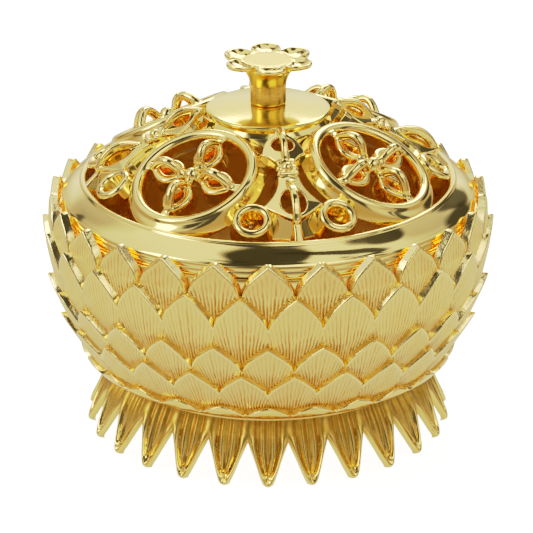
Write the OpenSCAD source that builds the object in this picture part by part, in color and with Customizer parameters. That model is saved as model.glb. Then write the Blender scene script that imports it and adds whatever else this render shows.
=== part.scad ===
// Covered lotus incense burner in gilt cast metal: a bowl dressed with five
// rows of scale petals on a foot of splayed leaves, and a pierced domed lid
// with vajra medallions and a flower knob. Origin: centre of the foot, on
// the table, +Z up. Azimuths run from the front (-Y) towards +X.

/* [Bowl] */
// Diameter across the widest petal tips
burner_d = 100; // [96:1:106]
// Petals in each row, and leaves round the foot
petal_count = 26; // [22:2:30]
// Height of the bowl from its underside to its rim
bowl_h = 35; // [34:0.5:37]
// Wall thickness of the bowl casting
bowl_wall = 2.6; // [2:0.2:3]
// Thickness that a petal tip shows above the row behind it
petal_step = 2.6; // [2:0.2:3]

/* [Foot] */
// Height of the foot, from the table to the underside of the bowl
foot_h = 16; // [15:0.5:18]
// Height of the notches between the leaves
notch_h = 8.4; // [7:0.2:10]
// Thickness of the leaves
leaf_t = 2; // [1.6:0.2:2.4]

/* [Lid] */
// Slope of the pierced dome, in degrees
dome_slope = 28; // [27:0.5:29]
// Radius of the plain disc under the knob
disc_r = 13.6; // [13:0.2:14]
// Width of a medallion's rim
ring_w = 2.8; // [2.2:0.2:3]
// Depth of the pierced work
relief_t = 3.2; // [2.8:0.2:3.6]
// Turn of the first radial vajra from the front, in degrees
lid_turn = 9.3; // [0:0.1:20]

/* [Knob] */
// Height of the knob above the crown of the disc
knob_h = 10.8; // [9:0.2:12]
// Radius of the flower, to its petal ends
flower_r = 10; // [9:0.2:11]

/* [Fittings] */
// Radius of the base screw, M4
base_screw_r = 2; // [1.5:0.5:2.5]
// Radius of the knob screw, M3
knob_screw_r = 1.5; // [1.25:0.25:1.5]
// Radius of the fibre pad
pad_r = 30; // [26:1:31]

/* [Hidden] */
$fn = 96;
eps = 0.01;

// Bowl
burner_r = burner_d / 2;
rim_r = burner_r - 3.8;
rim_z = foot_h + bowl_h;
base_curl = 11.2;
curl_power = 2.6;
floor_t = 3;
floor_z = foot_h + floor_t;
profile_steps = 12;
pitch = 360 / petal_count;

// Petal rows from the rim down: tip radius, tip height, depth of the notches
tip_r = [burner_r - 1.8, burner_r, burner_r - 0.8, burner_r - 2.8, burner_r - 8];
tip_z = [rim_z + 3.8, rim_z - 3, rim_z - 14.6, rim_z - 21.8, rim_z - 31.2];
notch_drop = [8.2, 7, 6.4, 5.6, 2.6];
// Flat left on each petal point, how far a row runs up behind the next one, and
// the radius at which the notches start, inside every row
tip_flat = 0.6;
tuck = 2.4;
notch_r = rim_r - base_curl - 2;
row5_foot = [burner_r - 12.6, foot_h - 0.5];

// Foot
neck_r = burner_r - 14.6;
leaf_r = burner_r - 9.2;
neck_drop = 2.2;
leaf_tip_half = 1.3;
// Between the two castings, and the levels of the collar and the leaves under it
joint_gap = 0.02;
neck_top = foot_h - joint_gap;
leaf_top = neck_top - neck_drop;
base_washer_t = 1;

// Lid
band_r = burner_r - 4.3;
open_r = band_r - 5.4;
lid_gap = 0.2;
band_z = rim_z + lid_gap;
lip_z = rim_z + 6.5;
spigot_r = rim_r - bowl_wall - 0.4;
spigot_t = 2;
spigot_drop = 4.5;
ring_in = disc_r + 1.3;
ring_out = open_r - 0.3;
ring_c = (ring_in + ring_out) / 2;
ring_r = (ring_out - ring_in) / 2 / cos(dome_slope);
ring_z = lip_z + 8.3;
arm_end = ring_r - ring_w + 0.4;
disc_z = ring_z + 7.2;
disc_rise = 1.2;
disc_edge = 1;
crown_z = disc_z + disc_rise;
hub_top = disc_z - disc_edge;
hub_web = 1.6;
knob_washer_t = 0.8;
screw_depth = 5.4;
// Thickness of the vajra prongs, and width of the stems that tie them to the lid
prong_t = 1.2;
stem_w = 1.6;
flower_z = crown_z + knob_h;

// Loose pieces
rest_gap = 0.3;
pad_z = floor_z + rest_gap;
pad_t = 4;
plate_z = pad_z + pad_t + rest_gap;
plate_t = 1;

gold = "#d8b65c";
satin_gold = "#c9ad63";
deep_gold = "#b9862a";
steel = "#9a9a98";

// Outer radius of the bowl wall at height z
function bowl_r(z) = rim_r - base_curl * pow(max(0, 1 - (z - foot_h) / bowl_h), curl_power);
// Line from a to b, at height z
function along(a, b, z) = a[0] + (b[0] - a[0]) * (z - a[1]) / (b[1] - a[1]);
// Where the face of row i ends, under the tips of the next row
function face_end(i) = i == 4 ? row5_foot : [tip_r[i + 1] - petal_step, tip_z[i + 1]];
// Radius of the face of row i at height z
function face_r(i, z) = along([tip_r[i], tip_z[i]], face_end(i), z);
function heights(a, b, n = profile_steps) = [for (i = [0:n]) a + (b - a) * i / n];

module ring_of(n, offset_deg = 0) {
    for (i = [0:n - 1]) rotate(i * 360 / n + offset_deg) children();
}

// Stands a child on the sloping dome: -Y runs outward and down, +Z out of the dome
module on_dome(azimuth, r, z, slope = dome_slope) {
    rotate(azimuth) translate([0, -r, z]) rotate([slope, 0, 0]) children();
}

// ---- Bowl ----

module bowl_shell() {
    wall = heights(foot_h, rim_z);
    inside = heights(floor_z, rim_z);
    color(gold) difference() {
        rotate_extrude() polygon(concat(
            [[0, foot_h]],
            [for (z = wall) [bowl_r(z), z]],
            [for (i = [profile_steps:-1:0]) [bowl_r(inside[i]) - bowl_wall, inside[i]]],
            [[0, floor_z]]
        ));
        translate([0, 0, foot_h - 1]) cylinder(r = base_screw_r, h = floor_t + 2, $fn = 32);
    }
}

// One row of petals: a ring that lies on the row above it, notched into points
module petal_row(i) {
    top = tip_z[i];
    end = face_end(i);
    low = i == 4 ? end[1] : end[1] - tuck;
    back_low = max(low, foot_h);
    back_top = i == 0 ? rim_z : top - tuck;
    lean = i == 0
        ? [[rim_r, rim_z], [tip_r[0] - 1.9, top]]
        : [[face_r(i - 1, top - tuck), top - tuck], [tip_r[i] - petal_step, top]];
    half = PI * tip_r[i] / petal_count;
    end_half = half - tip_flat / 2;
    drop = notch_drop[i];
    back_steps = i == 4 ? 2 : 6;
    difference() {
        rotate_extrude() polygon(concat(
            [[tip_r[i], top], [face_r(i, low), low]],
            [for (z = heights(back_low, back_top, back_steps)) [bowl_r(z), z]],
            lean
        ));
        ring_of(petal_count, i % 2 == 0 ? pitch / 2 : 0)
            translate([0, -notch_r, 0]) rotate([90, 0, 0]) linear_extrude(burner_r + 1 - notch_r) polygon([
                [0, top - drop], [half * 0.1, top - drop * 0.78], [half * 0.33, top - drop * 0.46],
                [half * 0.64, top - drop * 0.22], [end_half, top + eps], [end_half, top + 1],
                [-end_half, top + 1], [-end_half, top + eps], [-half * 0.64, top - drop * 0.22],
                [-half * 0.33, top - drop * 0.46], [-half * 0.1, top - drop * 0.78]
            ]);
    }
}

module petal_row_1() color(satin_gold) petal_row(0);
module petal_row_2() color(satin_gold) petal_row(1);
module petal_row_3() color(satin_gold) petal_row(2);
module petal_row_4() color(satin_gold) petal_row(3);
module petal_row_5() color(satin_gold) petal_row(4);

// ---- Foot ----

// Collar and floor of the foot casting, under the bowl
module foot_neck() {
    color(gold) difference() {
        translate([0, 0, leaf_top]) cylinder(r = neck_r, h = neck_drop);
        translate([0, 0, leaf_top - 1]) cylinder(r = base_screw_r + 0.2, h = neck_drop + 2, $fn = 32);
    }
}

// Skirt of pointed leaves that carries the burner on its tips
module foot_leaves() {
    half = PI * leaf_r / petal_count;
    flare = 2.9;
    start_r = neck_r - leaf_t - 1;
    color(gold) difference() {
        rotate_extrude() polygon([
            [neck_r - leaf_t, leaf_top], [neck_r, leaf_top], [leaf_r - flare, 8], [leaf_r, 1.2],
            [leaf_r - 0.3, 0], [leaf_r - 1.5, 0], [leaf_r - flare - leaf_t, 7.4]
        ]);
        ring_of(petal_count, pitch / 2)
            translate([0, -start_r, 0]) rotate([90, 0, 0]) linear_extrude(leaf_r + 1 - start_r) polygon([
                [0, notch_h], [half - leaf_tip_half, 1.4], [half - leaf_tip_half * 0.5, -1],
                [leaf_tip_half * 0.5 - half, -1], [leaf_tip_half - half, 1.4]
            ]);
    }
}

// Pan-head screw with a cross slot, head down: its head ends at z
module screw(z, r, head_h, shank) {
    slot = r * 0.4;
    translate([0, 0, z - head_h]) difference() {
        cylinder(r = r * 1.9, h = head_h, $fn = 32);
        for (a = [0, 90]) rotate(a) translate([-slot / 2, -r, -eps]) cube([slot, 2 * r, head_h / 2]);
    }
    translate([0, 0, z - 0.2]) cylinder(r = r - joint_gap, h = shank, $fn = 32);
}

module washer(z, r, hole_r, t) {
    translate([0, 0, z]) difference() {
        cylinder(r = r, h = t, $fn = 48);
        translate([0, 0, -1]) cylinder(r = hole_r, h = t + 2, $fn = 32);
    }
}

module base_screw() {
    head_z = leaf_top - base_washer_t;
    color(steel) screw(head_z, base_screw_r, 2.4, floor_z - head_z - 0.4);
}

module base_washer() {
    color(steel) washer(leaf_top - base_washer_t, base_screw_r * 2.6, base_screw_r + 0.15, base_washer_t);
}

// ---- Lid ----

// Plain convex band that rests on the rim of the bowl
module lid_band() {
    shoulder = [band_r - 0.6, band_z + 3];
    bulge = 0.9;
    color(gold) rotate_extrude() polygon(concat(
        [[spigot_r - spigot_t, band_z], [band_r - 0.7, band_z]],
        [[band_r, band_z + 0.8], [band_r, band_z + 2.1]],
        [for (i = [0:8]) let (t = i / 8) [
            shoulder[0] + (open_r + 0.9 - shoulder[0]) * t + bulge * 0.6 * sin(180 * t),
            shoulder[1] + (lip_z - 0.3 - shoulder[1]) * t + bulge * sin(180 * t)
        ]],
        [[open_r + 0.6, lip_z], [open_r, lip_z], [open_r - 0.6, lip_z - 0.5], [open_r - 0.6, lip_z - 3]]
    ));
}

// Short sleeve that keeps the lid central in the bowl
module lid_spigot() {
    color(gold) difference() {
        translate([0, 0, band_z - spigot_drop]) cylinder(r = spigot_r, h = spigot_drop);
        translate([0, 0, band_z - spigot_drop - 1]) cylinder(r = spigot_r - spigot_t, h = spigot_drop + 2);
    }
}

module lid_medallion_rings() {
    color(gold) ring_of(4, lid_turn + 45) on_dome(0, ring_c, ring_z) rotate_extrude() {
        translate([ring_r - ring_w / 2, -ring_w / 2]) circle(d = ring_w, $fn = 32);
        translate([ring_r - ring_w, -ring_w / 2 - relief_t]) square([ring_w, relief_t]);
    }
}

// Middle prong of a vajra head, arched over it: span long, rise high
module prong_arch(span, rise, width) {
    r = (span * span / 4 + rise * rise) / (2 * rise);
    sunk = 1.4;
    intersection() {
        translate([-width / 2, 0, rise - r]) rotate([0, 90, 0]) difference() {
            cylinder(r = r, h = width, $fn = 48);
            translate([0, 0, -1]) cylinder(r = r - prong_t, h = width + 2, $fn = 48);
        }
        translate([-width, -span / 2 - 0.5, -sunk]) cube([2 * width, span + 1, rise + 2]);
    }
}

// One looped arm of a crossed vajra, from the hub out along -Y
module vajra_arm() {
    loop_r = 3.1;
    loop_y = -6.4;
    bite = 0.4;
    collar = [1.8, -loop_y - loop_r + bite, 2.6];
    stem_l = arm_end + loop_y - loop_r + bite;
    translate([0, loop_y, -relief_t]) difference() {
        cylinder(r = loop_r, h = relief_t, $fn = 40);
        translate([0, 0, -1]) cylinder(r = loop_r - prong_t, h = relief_t + 2, $fn = 40);
    }
    translate([-collar[0] / 2, -collar[1], -collar[2]]) cube(collar);
    translate([-stem_w / 2, -arm_end, -relief_t]) cube([stem_w, stem_l, relief_t]);
    translate([0, loop_y, 0]) prong_arch(2 * loop_r + prong_t, 3.6, 1.3);
}

module lid_crossed_vajras() {
    color(gold) ring_of(4, lid_turn + 45) on_dome(0, ring_c, ring_z - 0.6) {
        translate([0, 0, -3]) cylinder(r = 1.9, h = 3.6, $fn = 32);
        ring_of(4) vajra_arm();
    }
}

// One head of a radial vajra: a pierced lozenge, its waist at y = 0, its point at y = -reach
module vajra_head(waist, half_w, reach, hole_r) {
    widest = -reach * 0.5;
    swell = [waist * 1.4, -reach * 0.2];
    point = 1;
    translate([0, 0, -relief_t]) linear_extrude(relief_t) difference() {
        polygon([
            [waist, 0], swell, [half_w, widest], [point, -reach],
            [-point, -reach], [-half_w, widest], [-swell[0], swell[1]], [-waist, 0]
        ]);
        translate([0, widest]) circle(r = hole_r, $fn = 32);
    }
    translate([0, widest, 0]) prong_arch(2 * (hole_r + prong_t), hole_r * 0.7, 1.5);
}

module lid_radial_vajras() {
    lower_reach = 11.4;
    upper_reach = 11.6;
    collar_w = 4.2;
    color(gold) ring_of(4, lid_turn) {
        on_dome(0, ring_c, ring_z) {
            translate([0, -0.6, 0]) vajra_head(2.4, 6.4, lower_reach, 2.9);
            translate([0, 2.6, 0]) rotate(180) vajra_head(1.9, 4.4, upper_reach, 2);
            translate([-collar_w / 2, -1, -relief_t]) cube([collar_w, 4, relief_t + 0.7]);
        }
        // Stem from the point of the lower head down to the band
        translate([-stem_w / 2, -open_r - 0.2, lip_z - 3]) cube([stem_w, 4.4, 5.4]);
    }
}

// Short tubes that stand on the band, one each side of every radial vajra
module lid_eyelets() {
    eye_r = 4.2;
    eye_wall = 1.5;
    eye_h = 5.5;
    turn = 14.5;
    color(gold) ring_of(4, lid_turn) for (side = [-1, 1])
        on_dome(side * turn, open_r - 3.3, lip_z + 3.7, dome_slope + 8)
            translate([0, 0, -eye_h]) difference() {
                cylinder(r = eye_r, h = eye_h, $fn = 48);
                translate([0, 0, -1]) cylinder(r = eye_r - eye_wall, h = eye_h + 2, $fn = 48);
            }
}

// Hollow crown that gathers the medallions under the disc
module lid_hub() {
    web_z = hub_top - hub_web;
    skirt_z = hub_top - 4.4;
    color(gold) difference() {
        rotate_extrude() polygon([
            [0, web_z], [disc_r - 3, web_z], [disc_r - 1, skirt_z], [disc_r + 1.6, skirt_z],
            [disc_r + 0.9, hub_top - 1.4], [disc_r - 0.6, hub_top], [0, hub_top]
        ]);
        translate([0, 0, web_z - 1]) cylinder(r = knob_screw_r + 0.2, h = hub_web + 2, $fn = 32);
    }
}

// Slightly domed disc under the knob
module lid_disc() {
    cap_r = (disc_r * disc_r + disc_rise * disc_rise) / (2 * disc_rise);
    color(gold) difference() {
        intersection() {
            translate([0, 0, crown_z - cap_r]) sphere(r = cap_r, $fn = 200);
            translate([0, 0, hub_top + eps]) cylinder(r = disc_r, h = disc_rise + 2);
        }
        translate([0, 0, hub_top - 1]) cylinder(r = knob_screw_r + 0.2, h = disc_rise + 4, $fn = 32);
    }
}

// ---- Knob ----

module knob_stem() {
    bottom_r = 3.75;
    centre_z = flower_z - 2;
    color(gold) difference() {
        rotate_extrude() polygon([
            [0, crown_z], [bottom_r, crown_z], [bottom_r, crown_z + 3], [3.9, crown_z + 4.8],
            [4.4, crown_z + 6.4], [5.3, crown_z + 7.8], [6.2, centre_z], [0, centre_z]
        ]);
        translate([0, 0, crown_z - 1]) cylinder(r = knob_screw_r, h = screw_depth + 1.4, $fn = 32);
    }
}

// Flat centre and six cupped petals, one petal to the front
module knob_flower() {
    petal_r = 2.7;
    petal_t = 1.7;
    lift = 14;
    color(gold) {
        translate([0, 0, flower_z - 2]) cylinder(r = 5.8, h = 1.5, $fn = 48);
        ring_of(6) translate([0, petal_r - flower_r, flower_z - 2.1]) rotate([-lift, 0, 0]) {
            cylinder(r = petal_r, h = petal_t, $fn = 32);
            translate([-petal_r, 0, 0]) cube([2 * petal_r, 3.2, petal_t]);
        }
    }
}

module knob_screw() {
    head_z = hub_top - hub_web - knob_washer_t;
    color(steel) screw(head_z, knob_screw_r, 1.9, crown_z + screw_depth - head_z);
}

module knob_washer() {
    z = hub_top - hub_web - knob_washer_t;
    color(steel) washer(z, knob_screw_r * 2.4, knob_screw_r + 0.1, knob_washer_t);
}

// ---- Loose pieces in the bowl ----

module fibre_pad() {
    color("#e9e6de") translate([0, 0, pad_z]) cylinder(r = pad_r, h = pad_t);
}

module incense_plate() {
    r = 17;
    color(gold) rotate_extrude() polygon([
        [0, plate_z], [r - 3, plate_z], [r, plate_z + 1.4], [r, plate_z + 2.2],
        [r - 0.8, plate_z + 2.2], [r - 3.4, plate_z + plate_t], [0, plate_z + plate_t]
    ]);
}

module incense_spike() {
    z = plate_z + plate_t;
    spike_h = 10;
    color(gold) rotate_extrude() polygon([
        [0, z], [3.2, z], [3.2, z + 0.8], [1.5, z + 1.6], [1.2, z + spike_h / 2],
        [0.3, z + spike_h], [0, z + spike_h]
    ]);
}

bowl_shell();
petal_row_1();
petal_row_2();
petal_row_3();
petal_row_4();
petal_row_5();
foot_neck();
foot_leaves();
base_screw();
base_washer();
lid_band();
lid_spigot();
lid_medallion_rings();
lid_crossed_vajras();
lid_radial_vajras();
lid_eyelets();
lid_hub();
lid_disc();
knob_stem();
knob_flower();
knob_screw();
knob_washer();
fibre_pad();
incense_plate();
incense_spike();
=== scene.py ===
"""The looks of the covered lotus incense burner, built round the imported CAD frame.

Shapes are worked out in millimetres and turned into metres when a mesh is made. Azimuths run
from the front (-Y) towards +X, as in the CAD source.
"""

from math import acos, ceil, cos, pi, radians, sin, tan

import bpy
import numpy as np
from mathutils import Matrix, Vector


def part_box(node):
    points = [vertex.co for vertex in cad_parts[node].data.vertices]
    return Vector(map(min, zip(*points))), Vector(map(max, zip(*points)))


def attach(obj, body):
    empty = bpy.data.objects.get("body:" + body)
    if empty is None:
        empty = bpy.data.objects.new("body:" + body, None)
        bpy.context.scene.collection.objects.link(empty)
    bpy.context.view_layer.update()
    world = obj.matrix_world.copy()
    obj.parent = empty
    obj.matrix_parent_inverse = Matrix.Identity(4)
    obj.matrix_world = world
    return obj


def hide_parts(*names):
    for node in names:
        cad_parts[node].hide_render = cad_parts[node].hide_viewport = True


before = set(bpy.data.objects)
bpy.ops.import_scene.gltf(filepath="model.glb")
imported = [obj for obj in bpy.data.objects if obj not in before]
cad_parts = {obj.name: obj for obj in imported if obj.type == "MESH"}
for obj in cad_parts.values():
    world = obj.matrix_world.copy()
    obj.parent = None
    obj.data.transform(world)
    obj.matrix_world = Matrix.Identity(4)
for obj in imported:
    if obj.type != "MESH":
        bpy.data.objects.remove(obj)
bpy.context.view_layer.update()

MM = 0.001
PETALS = 26
PITCH = 2 * pi / PETALS
LID_TURN = radians(9.3)
DOME = radians(28)


def dims(node):
    """Outer radius, bottom and top of a CAD node, in millimetres."""
    lo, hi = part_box(node)
    return max(-lo.x, hi.x, -lo.y, hi.y) / MM, lo.z / MM, hi.z / MM


# ---- curves and meshes


def monotone(points):
    """A smooth monotone curve through points, as a function of an array."""
    x, y = (np.array(v, float) for v in zip(*points, strict=True))
    h, d = np.diff(x), np.diff(y) / np.diff(x)
    m = np.zeros(len(x))
    m[1:-1] = np.where(d[:-1] * d[1:] > 0, 2 * d[:-1] * d[1:] / (d[:-1] + d[1:] + 1e-12), 0)
    m[0], m[-1] = d[0], d[-1]

    def at(q):
        q = np.clip(q, x[0], x[-1])
        k = np.clip(np.searchsorted(x, q, side="right") - 1, 0, len(h) - 1)
        t = (q - x[k]) / h[k]
        ends = y[k] * (2 * t**3 - 3 * t**2 + 1) + h[k] * m[k] * (t**3 - 2 * t**2 + t)
        return ends + y[k + 1] * (3 * t**2 - 2 * t**3) + h[k] * m[k + 1] * (t**3 - t**2)

    return at


def step(a, b, v):
    """0 before a, 1 after b, and smooth between."""
    t = np.clip((v - a) / (b - a), 0, 1)
    return t * t * (3 - 2 * t)


def new_object(name, verts, faces, mats, index=None, sharp=radians(38), shade_and_dull=None):
    """A mesh object from vertices in millimetres and faces wound outwards.

    A corner named twice in a face is used once, index picks a material for each face, and the last
    argument marks each vertex for painted shade in the colour and for a rougher surface.
    """
    mesh = bpy.data.meshes.new(name)
    polygons = [list(dict.fromkeys(face)) for face in np.asarray(faces).tolist()]
    mesh.from_pydata((np.asarray(verts, float) * MM).tolist(), [], polygons)
    mesh.validate()
    for m in mats:
        mesh.materials.append(m)
    if index is not None:
        mesh.polygons.foreach_set("material_index", np.asarray(index, np.int32))
    # marks for painted shade and roughening, one for each vertex
    if shade_and_dull is not None:
        values = mesh.attributes.new("shade_and_dull", "FLOAT", "POINT")
        values.data.foreach_set("value", np.clip(shade_and_dull, 0, 1).astype(np.float32).ravel())
    mesh.shade_smooth()
    mesh.set_sharp_from_angle(angle=sharp)
    mesh.update()
    obj = bpy.data.objects.new(name, mesh)
    bpy.context.scene.collection.objects.link(obj)
    return obj


def outward(verts, quads):
    """The same faces, turned so that the closed surface faces outwards."""
    a, b, c = verts[quads[:, 0]], verts[quads[:, 1]], verts[quads[:, 2]]
    d = verts[quads[:, -1]]
    volume = sum(np.einsum("ij,ij->i", a, np.cross(u, v)).sum() for u, v in ((b, c), (c, d)))
    return quads if volume > 0 else quads[:, ::-1]


def torus(points):
    """Vertices and quads of a surface closed both ways, from an array (round, along, 3)."""
    c, k = points.shape[:2]
    i = np.arange(c * k).reshape(c, k)
    nxt = np.roll(i, -1, 0)
    quads = np.stack([i, nxt, np.roll(nxt, -1, 1), np.roll(i, -1, 1)], -1).reshape(-1, 4)
    verts = points.reshape(-1, 3)
    return verts, outward(verts, quads)


def polar(r, azimuth, z):
    """Points from radii, azimuths and heights, which broadcast against each other."""
    r, azimuth, z = np.broadcast_arrays(r, azimuth, z)
    return np.stack([r * np.sin(azimuth), -r * np.cos(azimuth), z], -1)


def capped(points, first_z, last_z):
    """Like torus(), for profiles that start and end on the axis, at two poles."""
    c, k = points.shape[:2]
    i = np.arange(c * k).reshape(c, k)
    nxt = np.roll(i, -1, 0)
    quads = np.stack([i[:, :-1], nxt[:, :-1], nxt[:, 1:], i[:, 1:]], -1).reshape(-1, 4)
    pole = np.full(c, c * k)
    first = np.stack([pole, nxt[:, 0], i[:, 0], i[:, 0]], -1)
    last = np.stack([pole + 1, i[:, -1], nxt[:, -1], nxt[:, -1]], -1)
    verts = np.vstack([points.reshape(-1, 3), [[0, 0, first_z], [0, 0, last_z]]])
    return verts, outward(verts, np.vstack([quads, first, last]))


def bend(a, corner, b, shares):
    """Points of a curve from a to b that bends round a corner."""
    return [(1 - t) ** 2 * a + 2 * t * (1 - t) * corner + t * t * b for t in shares]


def rounded(points, steps=5):
    """A closed profile from (r, z, corner radius), with its corners turned into arcs."""
    out = []
    at = np.array([point[:2] for point in points], float)
    for i, (p, (_, _, radius)) in enumerate(zip(at, points, strict=True)):
        if radius <= 0:
            out.append(p)
            continue
        u, v = at[i - 1] - p, at[(i + 1) % len(at)] - p
        lu, lv = np.linalg.norm(u), np.linalg.norm(v)
        u, v = u / lu, v / lv
        half = acos(max(-1, min(1, float(u @ v)))) / 2
        cut = min(radius / tan(half), 0.48 * lu, 0.48 * lv)
        a, b = p + u * cut, p + v * cut
        out += bend(a, p, b, np.linspace(0, 1, steps + 1))
    return np.array(out)


def lathe(profile, around=160):
    """A turned ring or disc: a closed profile of (r, z); points at r 0 become poles."""
    prof = np.asarray(profile, float)
    on_axis = prof[:, 0] < 1e-6
    az = np.linspace(0, 2 * pi, around, endpoint=False)[:, None]
    points = polar(prof[~on_axis, 0], az, prof[~on_axis, 1])
    if not on_axis.any():
        return torus(points)
    pole_z = prof[on_axis, 1]
    return capped(points, pole_z[0], pole_z[-1])


# ---- solid modelling on a grid


def soft_min(a, b, k):
    """The smaller of two distances, with a fillet of about k where they meet."""
    h = np.clip(0.5 + 0.5 * (b - a) / k, 0, 1)
    return b * (1 - h) + a * h - k * h * (1 - h)


def soft_max(a, b, k):
    return -soft_min(-a, -b, k)


def capsule(p, a, b, ra, rb=None):
    """Distance to a rod from a to b, with radius ra at a and rb at b."""
    rb = ra if rb is None else rb
    a, b = np.array(a, float), np.array(b, float)
    ab = b - a
    q = [p[i] - a[i] for i in range(3)]
    t = np.clip(sum(q[i] * ab[i] for i in range(3)) / float(ab @ ab), 0, 1)
    return np.sqrt(sum((q[i] - t * ab[i]) ** 2 for i in range(3))) - (ra + (rb - ra) * t)


def block(p, centre, half, r):
    """Distance to a box with rounded edges."""
    q = [np.abs(p[i] - centre[i]) - (half[i] - r) for i in range(3)]
    inside = np.minimum(np.maximum(np.maximum(q[0], q[1]), q[2]), 0)
    return np.sqrt(sum(np.maximum(v, 0) ** 2 for v in q)) + inside - r


def chain2(x, y, points):
    """Distance in the plane to a line through points."""
    best = np.inf
    for (x0, y0), (x1, y1) in zip(points[:-1], points[1:], strict=True):
        dx, dy = x1 - x0, y1 - y0
        t = np.clip(((x - x0) * dx + (y - y0) * dy) / (dx * dx + dy * dy), 0, 1)
        best = np.minimum(best, np.hypot(x - x0 - t * dx, y - y0 - t * dy))
    return best


def polygon2(x, y, points):
    """Signed distance in the plane to a closed outline."""
    d, sign = np.inf, np.ones_like(x)
    for (x0, y0), (x1, y1) in zip(points, points[1:] + points[:1], strict=True):
        dx, dy = x1 - x0, y1 - y0
        t = np.clip(((x - x0) * dx + (y - y0) * dy) / (dx * dx + dy * dy), 0, 1)
        d = np.minimum(d, (x - x0 - t * dx) ** 2 + (y - y0 - t * dy) ** 2)
        cross = dx * (y - y0) - dy * (x - x0)
        flip = ((y >= y0) & (y < y1) & (cross > 0)) | ((y < y0) & (y >= y1) & (cross < 0))
        sign = np.where(flip, -sign, sign)
    return sign * np.sqrt(d)


def skin(f, lo, hi, h):
    """Vertices and quads of the surface f = 0 inside a box, on a grid of step h."""
    n = [int(ceil((hi[i] - lo[i]) / h)) + 1 for i in range(3)]
    axes = [lo[i] + h * np.arange(n[i]) for i in range(3)]
    grid = np.meshgrid(*axes, indexing="ij")
    val = f(grid)
    neg = val < 0
    cut = [slice(0, -1), slice(1, None)]
    corners = [(a, b, c) for a in (0, 1) for b in (0, 1) for c in (0, 1)]
    count = sum(neg[cut[a], cut[b], cut[c]].astype(np.int8) for a, b, c in corners)
    mixed = (count > 0) & (count < 8)
    cells = np.argwhere(mixed)
    index = np.full(mixed.shape, -1)
    index[mixed] = np.arange(len(cells))
    total, hits = np.zeros((len(cells), 3)), np.zeros(len(cells))
    for a in corners:
        for axis in range(3):
            if a[axis]:
                continue
            b = tuple(1 if i == axis else a[i] for i in range(3))
            fa = val[tuple((cells + a).T)]
            fb = val[tuple((cells + b).T)]
            cross = (fa < 0) != (fb < 0)
            t = np.where(cross, fa / np.where(cross, fa - fb, 1), 0)
            p = np.array(a, float) + t[:, None] * (np.array(b) - np.array(a))
            total[cross] += p[cross]
            hits[cross] += 1
    verts = np.array(lo) + h * (cells + total / hits[:, None])
    quads = []
    for axis in range(3):
        u, v = (axis + 1) % 3, (axis + 2) % 3
        first, second = (np.take(neg, range(k, n[axis] - 1 + k), axis) for k in (0, 1))
        at = np.argwhere(first != second)
        at = at[(at[:, u] > 0) & (at[:, v] > 0)]
        near = first[tuple(at.T)]
        du, dv = np.zeros(3, int), np.zeros(3, int)
        du[u], dv[v] = 1, 1
        q = np.stack([index[tuple(w.T)] for w in (at - du - dv, at - dv, at, at - du)], -1)
        q[~near] = q[~near][:, ::-1]
        quads.append(q)
    quads = np.vstack(quads)
    # two steps down the gradient bring the vertices onto the surface, each within half a cell
    e, least_slope, reach = 0.02, 0.25, 0.45 * h
    for _ in range(2):
        p = list(verts.T)
        g = []
        for i in range(3):
            up = [c + (e if j == i else 0) for j, c in enumerate(p)]
            dn = [c - (e if j == i else 0) for j, c in enumerate(p)]
            g.append((f(up) - f(dn)) / (2 * e))
        g = np.stack(g, -1)
        move = -(f(p) / np.maximum((g * g).sum(-1), least_slope))[:, None] * g
        length = np.linalg.norm(move, axis=1, keepdims=True)
        verts = verts + move * np.minimum(1, reach / np.maximum(length, 1e-9))
    return verts, outward(verts, quads)


# ---- materials


class Nodes:
    """A short way to build a node tree."""

    def __init__(self, tree):
        self.tree = tree

    def add(self, kind, props=None, **inputs):
        node = self.tree.nodes.new(kind)
        for key, value in (props or {}).items():
            setattr(node, key, value)
        for key, value in inputs.items():
            numbered = key[0] == "i" and key[1:].isdigit()
            self.feed(node.inputs[int(key[1:]) if numbered else key.replace("_", " ")], value)
        return node

    def feed(self, socket, value):
        if isinstance(value, bpy.types.NodeSocket):
            self.tree.links.new(value, socket)
        else:
            socket.default_value = value

    def noise(self, scale, detail=3.0, coord=None, rough=0.55, stretch=None):
        source = coord or self.coord()
        if stretch:
            source = self.add("ShaderNodeMapping", Vector=source, Scale=stretch).outputs[0]
        props = {"Vector": source, "Scale": scale, "Detail": detail, "Roughness": rough}
        return self.add("ShaderNodeTexNoise", **props).outputs["Fac"]

    def coord(self):
        if not hasattr(self, "_coord"):
            self._coord = self.add("ShaderNodeTexCoord").outputs["Object"]
        return self._coord

    def radius(self):
        """Distance from the object's own upright axis."""
        x, y, _ = self.add("ShaderNodeSeparateXYZ", Vector=self.coord()).outputs
        x2, y2 = self.maths("MULTIPLY", x, x), self.maths("MULTIPLY", y, y)
        return self.maths("SQRT", self.maths("ADD", x2, y2))

    def remap(self, value, a, b, c, d):
        limits = {"From_Min": a, "From_Max": b, "To_Min": c, "To_Max": d}
        return self.add("ShaderNodeMapRange", Value=value, **limits).outputs["Result"]

    def maths(self, op, a, b=0.0, c=0.0):
        return self.add("ShaderNodeMath", {"operation": op}, i0=a, i1=b, i2=c).outputs[0]

    def blend(self, fac, a, b):
        node = self.tree.nodes.new("ShaderNodeMix")
        node.data_type = "RGBA"
        for socket, value in ((0, fac), (6, a), (7, b)):
            self.feed(node.inputs[socket], value)
        return node.outputs[2]

    def bump(self, height, strength, distance, normal=None):
        sockets = {"Height": height, "Strength": strength, "Distance": distance}
        if normal:
            sockets["Normal"] = normal
        return self.add("ShaderNodeBump", **sockets).outputs[0]


def material(name):
    mat = bpy.data.materials.new(name)
    mat.use_nodes = True
    n = Nodes(mat.node_tree)
    return mat, n, mat.node_tree.nodes["Principled BSDF"]


def link(n, shader, **inputs):
    for key, value in inputs.items():
        n.feed(shader.inputs[key.replace("_", " ")], value)


def rgb(r, g, b):
    return (r, g, b, 1.0)


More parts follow.
